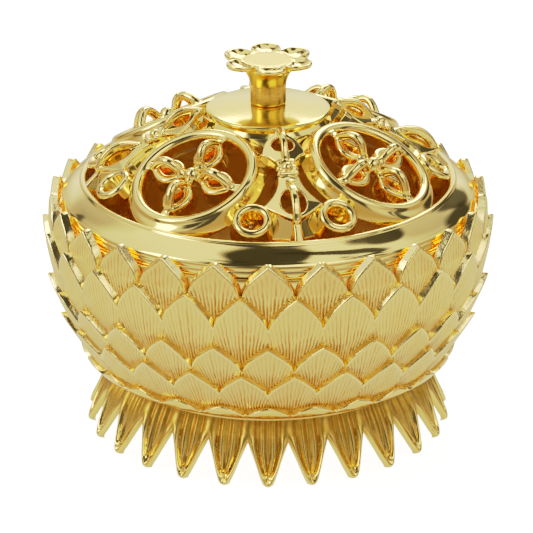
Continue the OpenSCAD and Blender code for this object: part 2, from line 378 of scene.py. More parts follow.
GOLD = rgb(1.0, 0.76, 0.27)
GOLD_WARM = rgb(1.0, 0.70, 0.19)
# painted shade: the deeper gold that marked recesses are blended towards
GOLD_PAINTED_SHADE = rgb(0.66, 0.36, 0.04)

# heights of the bumps, in metres
WAVE_HEIGHT, GRAIN_HEIGHT, LINE_HEIGHT, FLUFF_HEIGHT = 0.0004, 0.0001, 0.00005, 0.0006


def gilt(
    name, rough, spread, tint=0.5, grain=0.0, grain_scale=2600, wave=0.0, wave_scale=190,
    painted_shade=0.35, dull=0.0, metal=1.0, colours=(GOLD, GOLD_WARM),
):
    """Electro-gilt casting.

    Its colour drifts by tint towards the second one, painted shade, as strong as its own argument,
    darkens marked recesses towards a deeper gold, dull roughens them, and wave and grain are
    the long and short unevenness of the cast surface.
    """
    mat, n, shader = material(name)
    drift = n.remap(n.noise(70, 4), 0.35, 0.65, 0.0, tint)
    base = n.blend(drift, colours[0], colours[1])
    if painted_shade or dull:
        # painted shade: marked recesses blend, a little patchily, towards the deeper gold
        recess = n.add("ShaderNodeAttribute", {"attribute_name": "shade_and_dull"}).outputs["Fac"]
        patchy = n.remap(n.noise(900, 3), 0.3, 0.6, 0.75, 1.0)
        depth = n.maths("MULTIPLY", n.maths("MULTIPLY", recess, painted_shade), patchy)
        base = n.blend(depth, base, GOLD_PAINTED_SHADE)
    wear = n.noise(420, 5)
    smudge = n.noise(55, 3)
    mixed = n.maths("ADD", n.maths("MULTIPLY", wear, 0.6), n.maths("MULTIPLY", smudge, 0.4))
    roughness = n.remap(mixed, 0.3, 0.7, max(rough - spread, 0.0), rough + spread)
    if dull:
        roughness = n.maths("ADD", roughness, n.maths("MULTIPLY", recess, dull))
    normal = None
    if wave:
        normal = n.bump(n.noise(wave_scale, 1, rough=0.3), wave, WAVE_HEIGHT)
    if grain:
        normal = n.bump(n.noise(grain_scale, 3, rough=0.7), grain, GRAIN_HEIGHT, normal)
    link(n, shader, Metallic=metal, Base_Color=base, Roughness=roughness)
    if normal:
        link(n, shader, Normal=normal)
    return mat


def spun(name, rough, scale, strength, colours=(GOLD, GOLD_WARM)):
    """Gold turned or brushed flat: very fine concentric lines."""
    mat, n, shader = material(name)
    ring = n.add(
        "ShaderNodeTexNoise", {"noise_dimensions": "1D"},
        W=n.radius(), Scale=scale, Detail=4.0, Roughness=0.7,
    )
    lines = ring.outputs["Fac"]
    drift = n.remap(n.noise(60, 3), 0.35, 0.65, 0.0, 0.35)
    base = n.blend(drift, colours[0], colours[1])
    roughness = n.remap(lines, 0.3, 0.7, rough - 0.04, rough + 0.05)
    normal = n.bump(lines, strength, LINE_HEIGHT, n.bump(n.noise(120, 2), 0.10, WAVE_HEIGHT))
    link(n, shader, Metallic=1.0, Base_Color=base, Roughness=roughness, Normal=normal)
    return mat


def steel(name):
    """Bright zinc plate on steel, faintly cloudy."""
    mat, n, shader = material(name)
    base = n.blend(n.noise(300, 4), rgb(0.50, 0.50, 0.50), rgb(0.62, 0.61, 0.59))
    rough = n.remap(n.noise(900, 4), 0.3, 0.7, 0.22, 0.42)
    normal = n.bump(n.noise(3500, 2), 0.15, GRAIN_HEIGHT)
    link(n, shader, Metallic=1.0, Base_Color=base, Roughness=rough, Normal=normal)
    return mat


def fibre(name):
    """Needled glass wool: fine crossing fibres, a little soiled by ash in the middle."""
    mat, n, shader = material(name)
    a = n.noise(900, 5, stretch=(1.0, 0.08, 1.0))
    b = n.noise(900, 5, stretch=(0.08, 1.0, 1.0))
    c = n.noise(1600, 4)
    fluff = n.maths("ADD", n.maths("ADD", a, b), n.maths("MULTIPLY", c, 0.6))
    soil = n.maths("MULTIPLY", n.remap(n.radius(), 0.008, 0.026, 0.5, 0.0), n.noise(180, 4))
    shade = n.remap(fluff, 1.0, 1.6, 0.0, 1.0)
    clean = n.blend(shade, rgb(0.60, 0.57, 0.50), rgb(0.84, 0.82, 0.77))
    base = n.blend(soil, clean, rgb(0.36, 0.31, 0.25))
    link(n, shader, Base_Color=base, Roughness=0.95, Normal=n.bump(fluff, 0.9, FLUFF_HEIGHT))
    return mat


polished = gilt("gilt_polished", 0.075, 0.03, tint=0.35, grain=0.05, wave=0.10, painted_shade=0.30)
band_gold = gilt(
    "gilt_band", 0.06, 0.025, tint=0.35, grain=0.03, wave=1.0, wave_scale=75, painted_shade=0.0
)
ring_gold = gilt("gilt_openwork", 0.085, 0.03, tint=0.45, grain=0.06, wave=0.16, painted_shade=0.45)
satin = gilt(
    "gilt_satin", 0.32, 0.05, tint=0.3, grain=0.22, grain_scale=2200, painted_shade=0.95,
    colours=(rgb(1.0, 0.725, 0.255), rgb(1.0, 0.68, 0.19)),
)
cast_edge = gilt(
    "gilt_cast_edge", 0.12, 0.05, tint=0.5, grain=0.55, grain_scale=1300, wave=0.5,
    painted_shade=0.0, dull=0.4, colours=(rgb(1.0, 0.80, 0.34), rgb(1.0, 0.74, 0.24)),
)
leaf_gold = gilt(
    "gilt_leaf", 0.11, 0.04, tint=0.5, grain=0.08, wave=0.10, painted_shade=1.0, dull=0.26,
    colours=(rgb(1.0, 0.73, 0.23), rgb(1.0, 0.67, 0.16)),
)
# painted shade and reflection: the inside gets a deeper orange gold than the same plating outside,
# for the dim, gold-lit inside of the bowl and lid
inner_gold_painted_shade = gilt(
    "gilt_inner_painted_shade", 0.36, 0.06, tint=0.6, grain=0.12, painted_shade=0.0, metal=0.8,
    colours=(rgb(0.97, 0.60, 0.11), rgb(0.87, 0.48, 0.07)),
)
disc_gold = spun(
    "gilt_spun_disc", 0.14, 2600, 0.10, (rgb(0.93, 0.74, 0.19), rgb(0.91, 0.69, 0.15))
)
centre_gold = spun(
    "gilt_spun_centre", 0.30, 3600, 0.18, (rgb(0.84, 0.66, 0.16), rgb(0.82, 0.61, 0.12))
)
# painted reflection: the knob neck gets a deeper orange gold than the rest of the plating, for the
# gold it reflects
stem_gold_painted_reflection = gilt(
    "gilt_stem_painted_reflection", 0.19, 0.05, tint=0.6, grain=0.30, grain_scale=1500, wave=0.25, painted_shade=0.0,
    colours=(rgb(0.93, 0.61, 0.13), rgb(0.86, 0.51, 0.08)),
)
brass = spun("brass_spun", 0.16, 3000, 0.18)
screw_steel = steel("steel_zinc")
pad_fibre = fibre("glass_fibre")


# ---- the bowl

rim_r, foot_h, rim_z = dims("bowl_shell")
bowl_h = rim_z - foot_h
WALL = 2.6
SCREW_BORE = 2.0
FLOOR_THICK = 3


def bowl_r(z):
    """Outer radius of the bowl, which turns in towards its foot."""
    return rim_r - 11.2 * np.clip(1 - (z - foot_h) / bowl_h, 0, None) ** 2.6


def finish_piece(obj, body, slot, *nodes):
    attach(obj, body)
    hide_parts(*nodes)
    return obj


def piece(node, name, verts, faces, mats, body="lid", slot="gilt_polished", **more):
    """The visible piece that stands for one CAD node."""
    return finish_piece(new_object(name, verts, faces, mats, **more), body, slot, node)


def turned(node, name, profile, around, look, body="lid", slot="gilt_polished"):
    """A piece that is turned whole, in one material."""
    return piece(node, name, *lathe(profile, around), [look], body, slot)


floor_z = foot_h + FLOOR_THICK
outer_z = foot_h + bowl_h * np.linspace(0, 1, 40)[1:-1]
inner_z = floor_z + (rim_z - floor_z) * np.linspace(0, 1, 40)[1:-1] ** 1.4
inner_r = bowl_r(inner_z) - WALL - 1.6 * (1 - (inner_z - floor_z) / (rim_z - floor_z)) ** 6
mouth_r, floor_r = rim_r - WALL, bowl_r(floor_z) - WALL
profile = [[SCREW_BORE, foot_h], [bowl_r(foot_h) - 0.3, foot_h]]
profile += np.stack([bowl_r(outer_z), outer_z], -1).tolist()
profile += [[rim_r, rim_z - 0.35], [rim_r - 0.12, rim_z - 0.1], [rim_r - 0.4, rim_z]]
profile += [[mouth_r + 0.5, rim_z], [mouth_r + 0.1, rim_z - 0.15], [mouth_r, rim_z - 0.5]]
profile += np.stack([inner_r, inner_z], -1)[::-1].tolist()
profile += [[floor_r - 2.6, floor_z + 0.05], [floor_r - 4.5, floor_z]]
profile += [[SCREW_BORE + 0.4, floor_z], [SCREW_BORE, floor_z - 0.3]]
verts, faces = lathe(profile, 208)
mid = verts[faces].mean(1)
index = np.hypot(mid[:, 0], mid[:, 1]) < bowl_r(mid[:, 2]) - 0.5 * WALL
index &= mid[:, 2] > foot_h + 0.5
looks = [polished, inner_gold_painted_shade]
piece("bowl_shell", "bowl_casting", verts, faces, looks, "bowl", index=index)


# half of each row's pointed end: distance across from the tip, and drop below it
OUTLINES = [
    [(0, 0), (0.5, 0.4), (2.3, 1.95), (3.55, 3.05), (4.6, 4.4), (5.35, 6.1), (5.82, 8.2)],
    [(0, 0), (0.6, 0.45), (1.9, 1.5), (3.4, 3.0), (4.7, 4.6), (5.55, 5.95), (6.04, 7.2)],
    [(0, 0), (0.6, 0.42), (1.6, 1.2), (2.8, 2.15), (4.3, 3.65), (5.4, 5.2), (5.95, 6.4)],
    [(0, 0), (0.6, 0.4), (1.5, 1.15), (2.8, 2.25), (4.2, 3.55), (5.2, 4.7), (5.7, 5.6)],
    [(0, 0), (0.8, 0.2), (2.4, 0.8), (3.9, 1.6), (5.07, 2.4)],
]
row_tips = [dims(f"petal_row_{i + 1}") for i in range(len(OUTLINES))]
tip_r = [d[0] for d in row_tips]
tip_z = [d[2] for d in row_tips]
LAST = len(OUTLINES) - 1
# how far each row stands out over the next, and where the foot of its face lies
STEPS = [1.55, 1.5, 1.35, 0.75]
face_low = [(tip_r[i + 1] - STEPS[i], tip_z[i + 1]) for i in range(LAST)] + [(37.4, foot_h - 0.5)]
# engraved lines: spacing, depth in each row, and how far they close in over what height
LINE_PITCH = 1.10
ENGRAVED = [0.36, 0.34, 0.38, 0.34, 0.0]
GATHER = [(0.50, 14.5), (0.36, 13.5), (0.44, 9.5), (0.38, 9.0), (0.2, 5)]
# the rolled edge of a petal: drop along its outline, and how far it stands back from the face
ROLL_DROP = [0.0, 0.10, 0.26, 0.46]
ROLL_BACK = [0.34, 0.13, 0.03, 0.0]


def face_r(i, z):
    """Radius of a row's face: straight to the next row's points, then a step inside that row."""
    (r1, z1), (r2, z2) = face_low[i], face_low[i + 1]
    line = tip_r[i] + (r1 - tip_r[i]) * (z - tip_z[i]) / (z1 - tip_z[i])
    below = tip_r[i + 1] + (r2 - tip_r[i + 1]) * (z - z1) / (z2 - z1) - STEPS[i]
    return np.where(z < z1, below, line)


def hash01(*keys):
    """A number from 0 to 1 that looks random but depends only on the keys."""
    v = 0.0
    for i, k in enumerate(keys):
        v = v + np.asarray(k, float) * (12.9898 + 65.233 * i)
    return np.mod(np.sin(v) * 43758.5453, 1.0)


def petal_row(i, columns=72, rows=34):
    """One row of petals as a closed ring: each column runs down the face and up the back."""
    col = np.arange(PETALS * columns)[:, None]
    petal = (col // columns).astype(float)
    s = (col % columns) / columns * 2 - 1
    azimuth = (petal + (s + 1) / 2) * PITCH - PITCH / 2 + (PITCH / 2 if i % 2 else 0)
    a = np.abs(s)
    half = pi * tip_r[i] / PETALS
    outline = monotone([(x / OUTLINES[i][-1][0], v) for x, v in OUTLINES[i]])
    top = outline(a)
    rise = outline(np.clip(a + 0.01, 0, 1)) - outline(np.clip(a - 0.01, 0, 1))
    lean = np.sqrt(1 + np.clip(rise / (0.02 * half), 0, 2.4) ** 2)
    if i < LAST:
        low = tip_z[i] - (tip_z[i + 1] - OUTLINES[i + 1][-1][1]) + 1.0
    else:
        low = tip_z[i] - face_low[i][1] - 0.35 * (1 - a**2)
    # v is the drop below the tip, and deep is its share of the face
    plain = rows - 1
    t = np.concatenate([[0, 0, 0, 0], np.linspace(0, 1, rows)[1:] ** 1.15])
    start = top + np.concatenate([ROLL_DROP, np.full(plain, ROLL_DROP[-1])]) * lean
    v = start + (np.maximum(low, top + 1.4) - start[:, -1:]) * t
    z = tip_z[i] - v
    deep = (v - top) / np.maximum(low - top, 1)
    inset = np.concatenate([ROLL_BACK, np.zeros(plain)])
    if i < LAST:
        r = face_r(i, z) - inset
    else:
        sink = np.clip((tip_z[i] - z) / (tip_z[i] - face_low[i][1]), 0, 1)
        r = tip_r[i] - 0.05 - (tip_r[i] - face_low[i][0]) * sink**2.6 - inset
    # gentle crown of the face, and the shallow valley where two petals meet
    valley = 0.16 * a**2 + 0.22 * np.exp(-(((1 - a) / 0.05) ** 2))
    r += -valley * step(0, 3, v) + 0.16 * np.sin(pi * np.clip(v / 13, 0, 1)) - 0.03
    # engraved lines, closing in towards the root of the petal
    gather, height = GATHER[i]
    x = s * half / (1 - gather * np.clip(v / height, 0, 1) ** 1.2)
    lines = x / LINE_PITCH + (hash01(petal, i) - 0.5) * 0.5
    wobble = 0.06 * np.sin(v * 1.7 + petal * 2.1 + np.round(lines))
    line = np.exp(-(((np.abs(np.mod(lines + wobble, 1.0) - 0.5)) / 0.17) ** 2))
    keep = 0.6 + 0.4 * hash01(np.round(lines - 0.5), petal, i)
    groove = line * keep * step(0.25, 1.7, v - top) * (0.55 + 0.75 * step(0.1, 0.9, deep))
    r -= ENGRAVED[i] * groove
    # painted shade at the root of each petal, where it runs in behind the next row, strongest along
    # the lines
    root = step(0.62, 0.97, deep) * (0.25 + 0.75 * line)
    front = polar(r, azimuth, z)
    # cut faces between the points of this row and the row behind, steepest in the notches
    reach = np.array([0.18, 0.4, 0.7, 1.0])
    edge_r, edge_z = r[:, :1], z[:, :1]
    draft = (0.42 if i else 0.32) * (1 + 0.7 * np.exp(-(((1 - a) / 0.12) ** 2)))
    if i == 0:
        back_r = np.maximum(edge_r - 1.45, rim_r + 0.05)
        inner = edge_z + draft * (edge_r - back_r) * np.minimum(lean, 1.6) - 0.1
    else:
        back_r = face_r(i - 1, edge_z) - 0.9
        inner = edge_z + draft * (edge_r - back_r) * np.minimum(lean, 1.9)
    inner = np.minimum(inner, tip_z[i] - 0.05)
    uneven = 0.05 * (hash01(col // 3, np.arange(4), i) - 0.5) * np.array([1, 1, 1, 0])
    wall_z = edge_z + (inner - edge_z) * reach + uneven
    walls = polar(edge_r + (back_r - edge_r) * reach, azimuth, wall_z)
    # back of the ring, out of sight except above the rim
    back = polar(r[:, -1:] - 1.2, azimuth, z[:, -1:])
    if i == 0:
        down = np.array([0.12, 0.4, 0.8])
        bz = edge_z - 0.3 + (rim_z - 1.5 - edge_z) * down
        bz = np.where(edge_z > rim_z + 0.3, bz, edge_z - 1.5 * (1 + down))
        fall = np.clip((bz - rim_z) / np.maximum(edge_z - rim_z, 0.5), 0, 1) ** 1.5
        above = rim_r + 0.04 + (back_r - rim_r - 0.04) * fall
        br = np.where(bz > rim_z, above, rim_r - 0.25)
        back = np.concatenate([polar(br, azimuth, bz), back], 1)
    loop = np.concatenate([front, back[:, ::-1], walls[:, ::-1]], 1)
    verts, quads = torus(loop)
    shown, hidden = front.shape[1], back.shape[1]
    # painted shade along the engraved lines and at the petal roots; the cut faces near the notches
    # are marked only to be roughened
    shade_and_dull = np.zeros(loop.shape[:2])
    if i < LAST:
        shade_and_dull[:, :shown] = np.clip(groove + 0.45 * root, 0, 1)
    shade_and_dull[:, -4:] = np.exp(-(((1 - a) / 0.3) ** 2)) * reach[::-1]
    # material of each strip along the loop: 0 the face, 1 the edge and cut faces, 2 the back
    strips = np.ones(loop.shape[1], int)
    strips[3 : shown - 1] = 0
    strips[shown - 1 : shown + hidden] = 2
    index = np.tile(strips, len(col))
    mats = [satin if i < LAST else leaf_gold, cast_edge, polished]
    shape = {"index": index, "sharp": radians(50), "shade_and_dull": shade_and_dull}
    row, name = f"petal_row_{i + 1}", f"lotus_petals_{i + 1}"
    piece(row, name, verts, quads, mats, "bowl", "gilt_satin", **shape)


for row in range(len(OUTLINES)):
    petal_row(row)


# ---- the foot

neck_r, neck_low, neck_top = dims("foot_neck")
leaf_r, _, leaf_top = dims("foot_leaves")
NOTCH = 9.1
NECK_BORE = 2.25
# height against outer radius, share of the half leaf against its lower edge, and height against
# the half width of the fluted core inside the border
leaf_out = monotone(
    [
        (0, leaf_r - 0.5), (0.5, leaf_r - 0.15), (1.2, leaf_r), (3, leaf_r - 0.75),
        (6, leaf_r - 2.1), (9.8, leaf_r - 3.7), (12.5, neck_r + 0.35), (leaf_top, neck_r),
    ]
)
leaf_edge = monotone(
    [
        (0, 0), (0.1, 0.12), (0.2, 0.5), (0.29, 1.3), (0.45, 3.05), (0.585, 4.7), (0.735, 6.35),
        (0.9, 8.0), (1.0, NOTCH),
    ]
)
leaf_core = monotone(
    [
        (0, 0.02), (2.0, 0.05), (2.6, 0.55), (3.4, 1.05), (4.7, 1.6), (6.3, 2.1), (8.8, 2.5),
        (leaf_top, 2.45),
    ]
)


def leaf_skirt(columns=44, rows=46):
    """The ring of splayed leaves: each has a raised border, two flutes and a dished tip."""
    col = np.arange(PETALS * columns)[:, None]
    s = (col % columns) / columns * 2 - 1
    azimuth = (col // columns + (s + 1) / 2) * PITCH - PITCH / 2
    a = np.abs(s)
    bottom = leaf_edge(a)
    z = bottom + (leaf_top - bottom) * np.linspace(0, 1, rows) ** 1.25
    base = leaf_out(z)
    half = pi * base / PETALS
    x = a * half
    # distance to the outline, in the plane of the leaf
    share = np.linspace(0, 1, 60)
    ez = leaf_edge(share)
    ex = share * pi * leaf_out(ez) / PETALS
    d = chain2(x, z, list(zip(ex, ez, strict=True)))
    core = leaf_core(z)
    outer = np.where(z < NOTCH, np.interp(z, ez, ex), half)
    e = np.clip((x - core) / np.maximum(outer - core, 0.3), 0, 1)
    q = np.clip(x / np.maximum(core, 0.05), 0, 1)
    # raised border along the outline, closing over the notches into one ridge
    free = 1 - step(NOTCH - 0.5, NOTCH + 2.2, z)
    border = 0.62 * np.sin(pi * e**0.8) * free + 0.55 * np.sin(pi / 2 * e) * (1 - free)
    flutes = -0.46 * np.cos(2 * pi * q) - 0.12
    deep = step(1.8, 3.4, z) * (0.8 + 0.2 * step(9, 5, z))
    relief = np.where(x > core, border - 0.58 * (1 - e) ** 4 * deep, flutes * deep)
    tip = step(3.0, 1.6, z)
    dish = -0.38 * np.exp(-(((z - 1.9) / 0.55) ** 2) - (x / 0.8) ** 2)
    relief = relief * (1 - tip) + tip * (0.55 * np.sin(pi * np.clip(d / 1.7, 0, 1)) + dish)
    # painted shade: darker in the flutes and low parts of the relief, and over the upper leaf under
    # the overhang of the bowl; the same marks roughen the surface
    leaf_shade_and_dull = np.clip(0.35 - relief * 1.1, 0, 1) * (0.5 + 0.5 * step(3, 9, z))
    leaf_shade_and_dull += 0.95 * step(7.5, 11.5, z)
    edge = np.clip(1 - d / 0.75, 0, 1)
    r = base - 0.62 + relief - 0.75 * (1 - np.sqrt(np.clip(1 - edge**2, 0, 1)))
    r *= 1 - 0.012 * step(leaf_top - 2.5, leaf_top, z)
    front = polar(r, azimuth, z)
    # the plain inner side, and the rounded lower edge that joins it to the front
    thick = 0.85
    inner_z = np.linspace(0, 1, 8) * (leaf_top - bottom - 0.35) + bottom + 0.35
    inner_r = leaf_out(inner_z) - 0.62 - thick - 0.25 * np.clip((inner_z - 4) / 6, 0, 1)
    inner = polar(np.maximum(inner_r, neck_r - 3), azimuth, inner_z)
    edge_r, edge_z = r[:, :1], z[:, :1]
    under = []
    for w, drop in ((0.3, 0.16), (0.6, 0.10), (0.85, 0.0)):
        rr = edge_r + (inner_r[:, :1] - edge_r) * w
        zz = edge_z + (inner_z[:, :1] - edge_z) * w**2 - drop * (edge_z > 0.4)
        under.append(polar(rr, azimuth, np.maximum(zz, 0)))
    loop = np.concatenate([front[:, ::-1], *under, inner], 1)
    verts, quads = torus(loop)
    shade_and_dull = np.zeros(loop.shape[:2])
    shade_and_dull[:, : front.shape[1]] = leaf_shade_and_dull[:, ::-1]
    shape = {"sharp": radians(62), "shade_and_dull": shade_and_dull}
    piece("foot_leaves", "foot_leaf_skirt", verts, quads, [leaf_gold], "bowl", **shape)


leaf_skirt()

bead = 0.55
neck = [[NECK_BORE, neck_low], [neck_r - 1.0, neck_low], [neck_r - 0.3, neck_low + 0.1]]
neck += [[neck_r - 0.15, neck_low + 0.5]]
neck += [
    [neck_r - bead + bead * cos(a), neck_low + 1.15 + bead * sin(a)]
    for a in np.linspace(-pi / 2, pi / 2, 9)
]
neck += [[neck_r - 0.4, neck_top - 0.3], [neck_r - 0.6, neck_top], [NECK_BORE, neck_top]]
turned("foot_neck", "foot_collar", neck, 208, leaf_gold, "bowl")


# ---- the lid

band_r, band_z, lip_z = dims("lid_band")
spigot_r, spigot_low, _ = dims("lid_spigot")
SPIGOT_WALL = 2
open_r = band_r - 5.4
disc_r, _, crown_z = dims("lid_disc")
disc_z = crown_z - 1.2
ring_c = (disc_r + 1.3 + open_r - 0.3) / 2
ring_r = (open_r - 0.3 - disc_r - 1.3) / 2 / cos(DOME)
ring_z = lip_z + 8.3

# a nearly straight cone from a rounded shoulder up to the lip
corner, lip = np.array([band_r + 0.02, band_z + 2.2]), np.array([open_r + 1.25, lip_z - 0.72])
swell = np.array([0.16, 0.24])
slope = [corner + (lip - corner) * t + swell * sin(pi * t) for t in np.linspace(0.22, 1, 24)]
turn_a, turn_b = np.array([band_r - 0.16, band_z + 1.72]), slope[0]
knee = np.array([band_r - 0.1, band_z + 2.55])
shoulder = bend(turn_a, knee, turn_b, np.linspace(0.08, 0.92, 9))
seat = band_z - 0.14
band = [[spigot_r - SPIGOT_WALL, seat], [band_r - 0.5, seat], [band_r - 0.2, seat + 0.05]]
band += [[band_r - 0.05, seat + 0.22], [band_r, band_z + 0.6], [band_r - 0.02, band_z + 1.2]]
band += [[band_r - 0.14, band_z + 1.4], [band_r - 0.18, band_z + 1.5]]
band += [[band_r - 0.14, band_z + 1.6]]
band += shoulder + slope
band += [[open_r + 1.1, lip_z - 0.62], [open_r + 0.98, lip_z - 0.4]]
band += [
    [open_r + 0.36 + 0.6 * cos(a), lip_z - 0.34 + 0.34 * sin(a)]
    for a in np.linspace(0.35, pi, 9)
]
band += [[open_r - 0.3, lip_z - 0.8], [open_r - 0.45, lip_z - 1.8]]
band += [[open_r - 0.5, lip_z - 2.8], [open_r - 0.2, lip_z - 3.1]]
verts, faces = lathe(band, 256)
mid = verts[faces].mean(1)
index = (mid[:, 2] < lip_z - 1.2) & (np.hypot(mid[:, 0], mid[:, 1]) < open_r - 0.1)
piece("lid_band", "lid_rim_band", verts, faces, [band_gold, inner_gold_painted_shade], index=index)

bore_r = spigot_r - SPIGOT_WALL
sleeve = [(spigot_r, band_z, 0), (spigot_r, spigot_low, 0.5)]
sleeve += [(bore_r, spigot_low, 0.5), (bore_r, band_z, 0)]
turned("lid_spigot", "lid_sleeve", rounded(sleeve), 192, inner_gold_painted_shade)


def dome_copies(verts, faces, azimuths, r, z, tilt=DOME):
    """One mesh of a form set on the dome at several azimuths: -Y down the slope, +Z out of it."""
    c, s = cos(tilt), sin(tilt)
    x, y, w = verts.T
    y2, z2 = c * y - s * w - r, s * y + c * w + z
    turns = [(cos(a), sin(a)) for a in azimuths]
    sets = [np.stack([ca * x - sa * y2, sa * x + ca * y2, z2], -1) for ca, sa in turns]
    return np.vstack(sets), np.vstack([faces + k * len(verts) for k in range(len(sets))])


VAJRA_GRID = 0.2
QUARTERS = [LID_TURN + k * pi / 2 for k in range(4)]
BETWEEN = [LID_TURN + pi / 4 + k * pi / 2 for k in range(4)]

# medallion rings: a rounded rim on a deep, slightly flaring wall
width, depth = 2.7, 3.8
ring = []
for a in np.linspace(pi * 1.02, -0.02 * pi, 17):
    ring.append([ring_r + width / 2 * (cos(a) - 1), width / 2 * (sin(a) - 1)])
inner = ring_r - width
ring += [[ring_r + 0.12, -1.8], [ring_r + 0.4, -2.5], [ring_r + 0.85, -3.4]]
ring += [[ring_r + 0.95, -depth], [inner, -depth], [inner - 0.1, 0.2 - depth], [inner, -2.7]]
v, f = lathe(ring, 168)
# the wall runs out to the lip of the band on the low side
low_side = np.clip(-v[:, 1] / ring_r, 0, 1.1) ** 2 * np.clip((-0.7 - v[:, 2]) / 0.9, 0, 1)
low_side *= np.hypot(v[:, 0], v[:, 1]) > ring_r - 1
v[:, :2] *= (1 + 1.45 * low_side / ring_r)[:, None]
verts, faces = dome_copies(v, f, BETWEEN, ring_c, ring_z)
piece("lid_medallion_rings", "medallion_rings", verts, faces, [ring_gold])


def arc(f, n):
    """n points of a curve given for 0 to 1."""
    return [f(t) for t in np.linspace(0, 1, n)]


def crossed(p):
    """Double vajra: four three-pronged heads round a hub."""
    x, y, w = p
    ax, ay = np.abs(x), np.abs(y)
    u, v = np.maximum(ax, ay), np.minimum(ax, ay)
    # hub, neck and collar
    d = np.sqrt(u**2 + v**2 + ((w - 0.1) * 0.85) ** 2) - 1.9
    d = soft_min(d, capsule((u, v, w), (1.2, 0, -0.3), (3.4, 0, -0.3), 1.05, 0.85), 0.5)
    d = soft_min(d, np.sqrt((u - 2.75) ** 2 * 1.5 + v**2 + (w + 0.1) ** 2) - 1.45, 0.25)
    # side prongs: deep walls that swell out and meet again at the tip
    line = arc(lambda t: (3.0 + 7.1 * t, 2.3 * sin(pi * t**0.85) ** 0.9), 13)
    swell = 0.88 + 0.18 * np.sin(np.clip((u - 3) / 7, 0, 1) * pi)
    flat = chain2(u, v, line) - swell - 0.12 * np.clip(-w, 0, 3)
    prong = soft_max(flat, np.abs(w + 1.5) - 2.0, 0.8)
    d = soft_min(d, prong, 0.35)
    # middle prong, arched over the gap
    arch = arc(lambda t: (2.9 + 7.0 * t, 0.1 + 3.1 * sin(pi * t**0.9) ** 0.85), 12)
    spine = np.sqrt(chain2(u, w, arch) ** 2 + (v * 0.95) ** 2) - 0.95
    d = soft_min(d, spine, 0.35)
    # pointed tip and the stem that ties it to the ring
    side = np.abs(v) - 0.8 - 0.35 * np.clip((u - 10.3) / 1.5, 0, 1)
    stem = soft_max(side, np.maximum(np.abs(w + 1.65) - 2.0, np.abs(u - 10.9) - 1.5), 0.4)
    return soft_min(d, stem, 0.4)


v, f = skin(crossed, (-12.5, -12.5, -4.0), (12.5, 12.5, 5.4), VAJRA_GRID)
verts, faces = dome_copies(v, f, BETWEEN, ring_c, ring_z - 0.75)
piece("lid_crossed_vajras", "crossed_vajras", verts, faces, [ring_gold], sharp=radians(60))


def mirror(points):
    """A closed outline from its right half."""
    return points + [(-x, y) for x, y in points[::-1] if abs(x) > 1e-9]


LOWER = mirror(
    [
        (0.0, -11.7), (2.1, -10.2), (4.2, -8.4), (6.4, -6.3), (5.3, -5.3), (4.1, -4.0),
        (3.2, -2.5), (2.5, -0.6), (2.2, 1.6),
    ]
)
UPPER = mirror(
    [
        (1.8, 4.9), (2.5, 5.9), (3.3, 6.9), (4.7, 7.9), (4.35, 9.3), (3.7, 10.9), (2.7, 12.2),
        (1.4, 13.1), (0.9, 14.4),
    ]
)


def oval(x, y, rx, ry, r):
    """Distance to an oval in the plane, roughly, in units of its radius r."""
    return (np.sqrt((x / rx) ** 2 + (y / ry) ** 2) - 1) * r


def pierced(out, over, under, hole):
    """A flat head: an outline under a roof, over a floor and round an opening."""
    return soft_max(soft_max(soft_max(out, over, 0.25), -under, 0.2), -hole, 0.3)


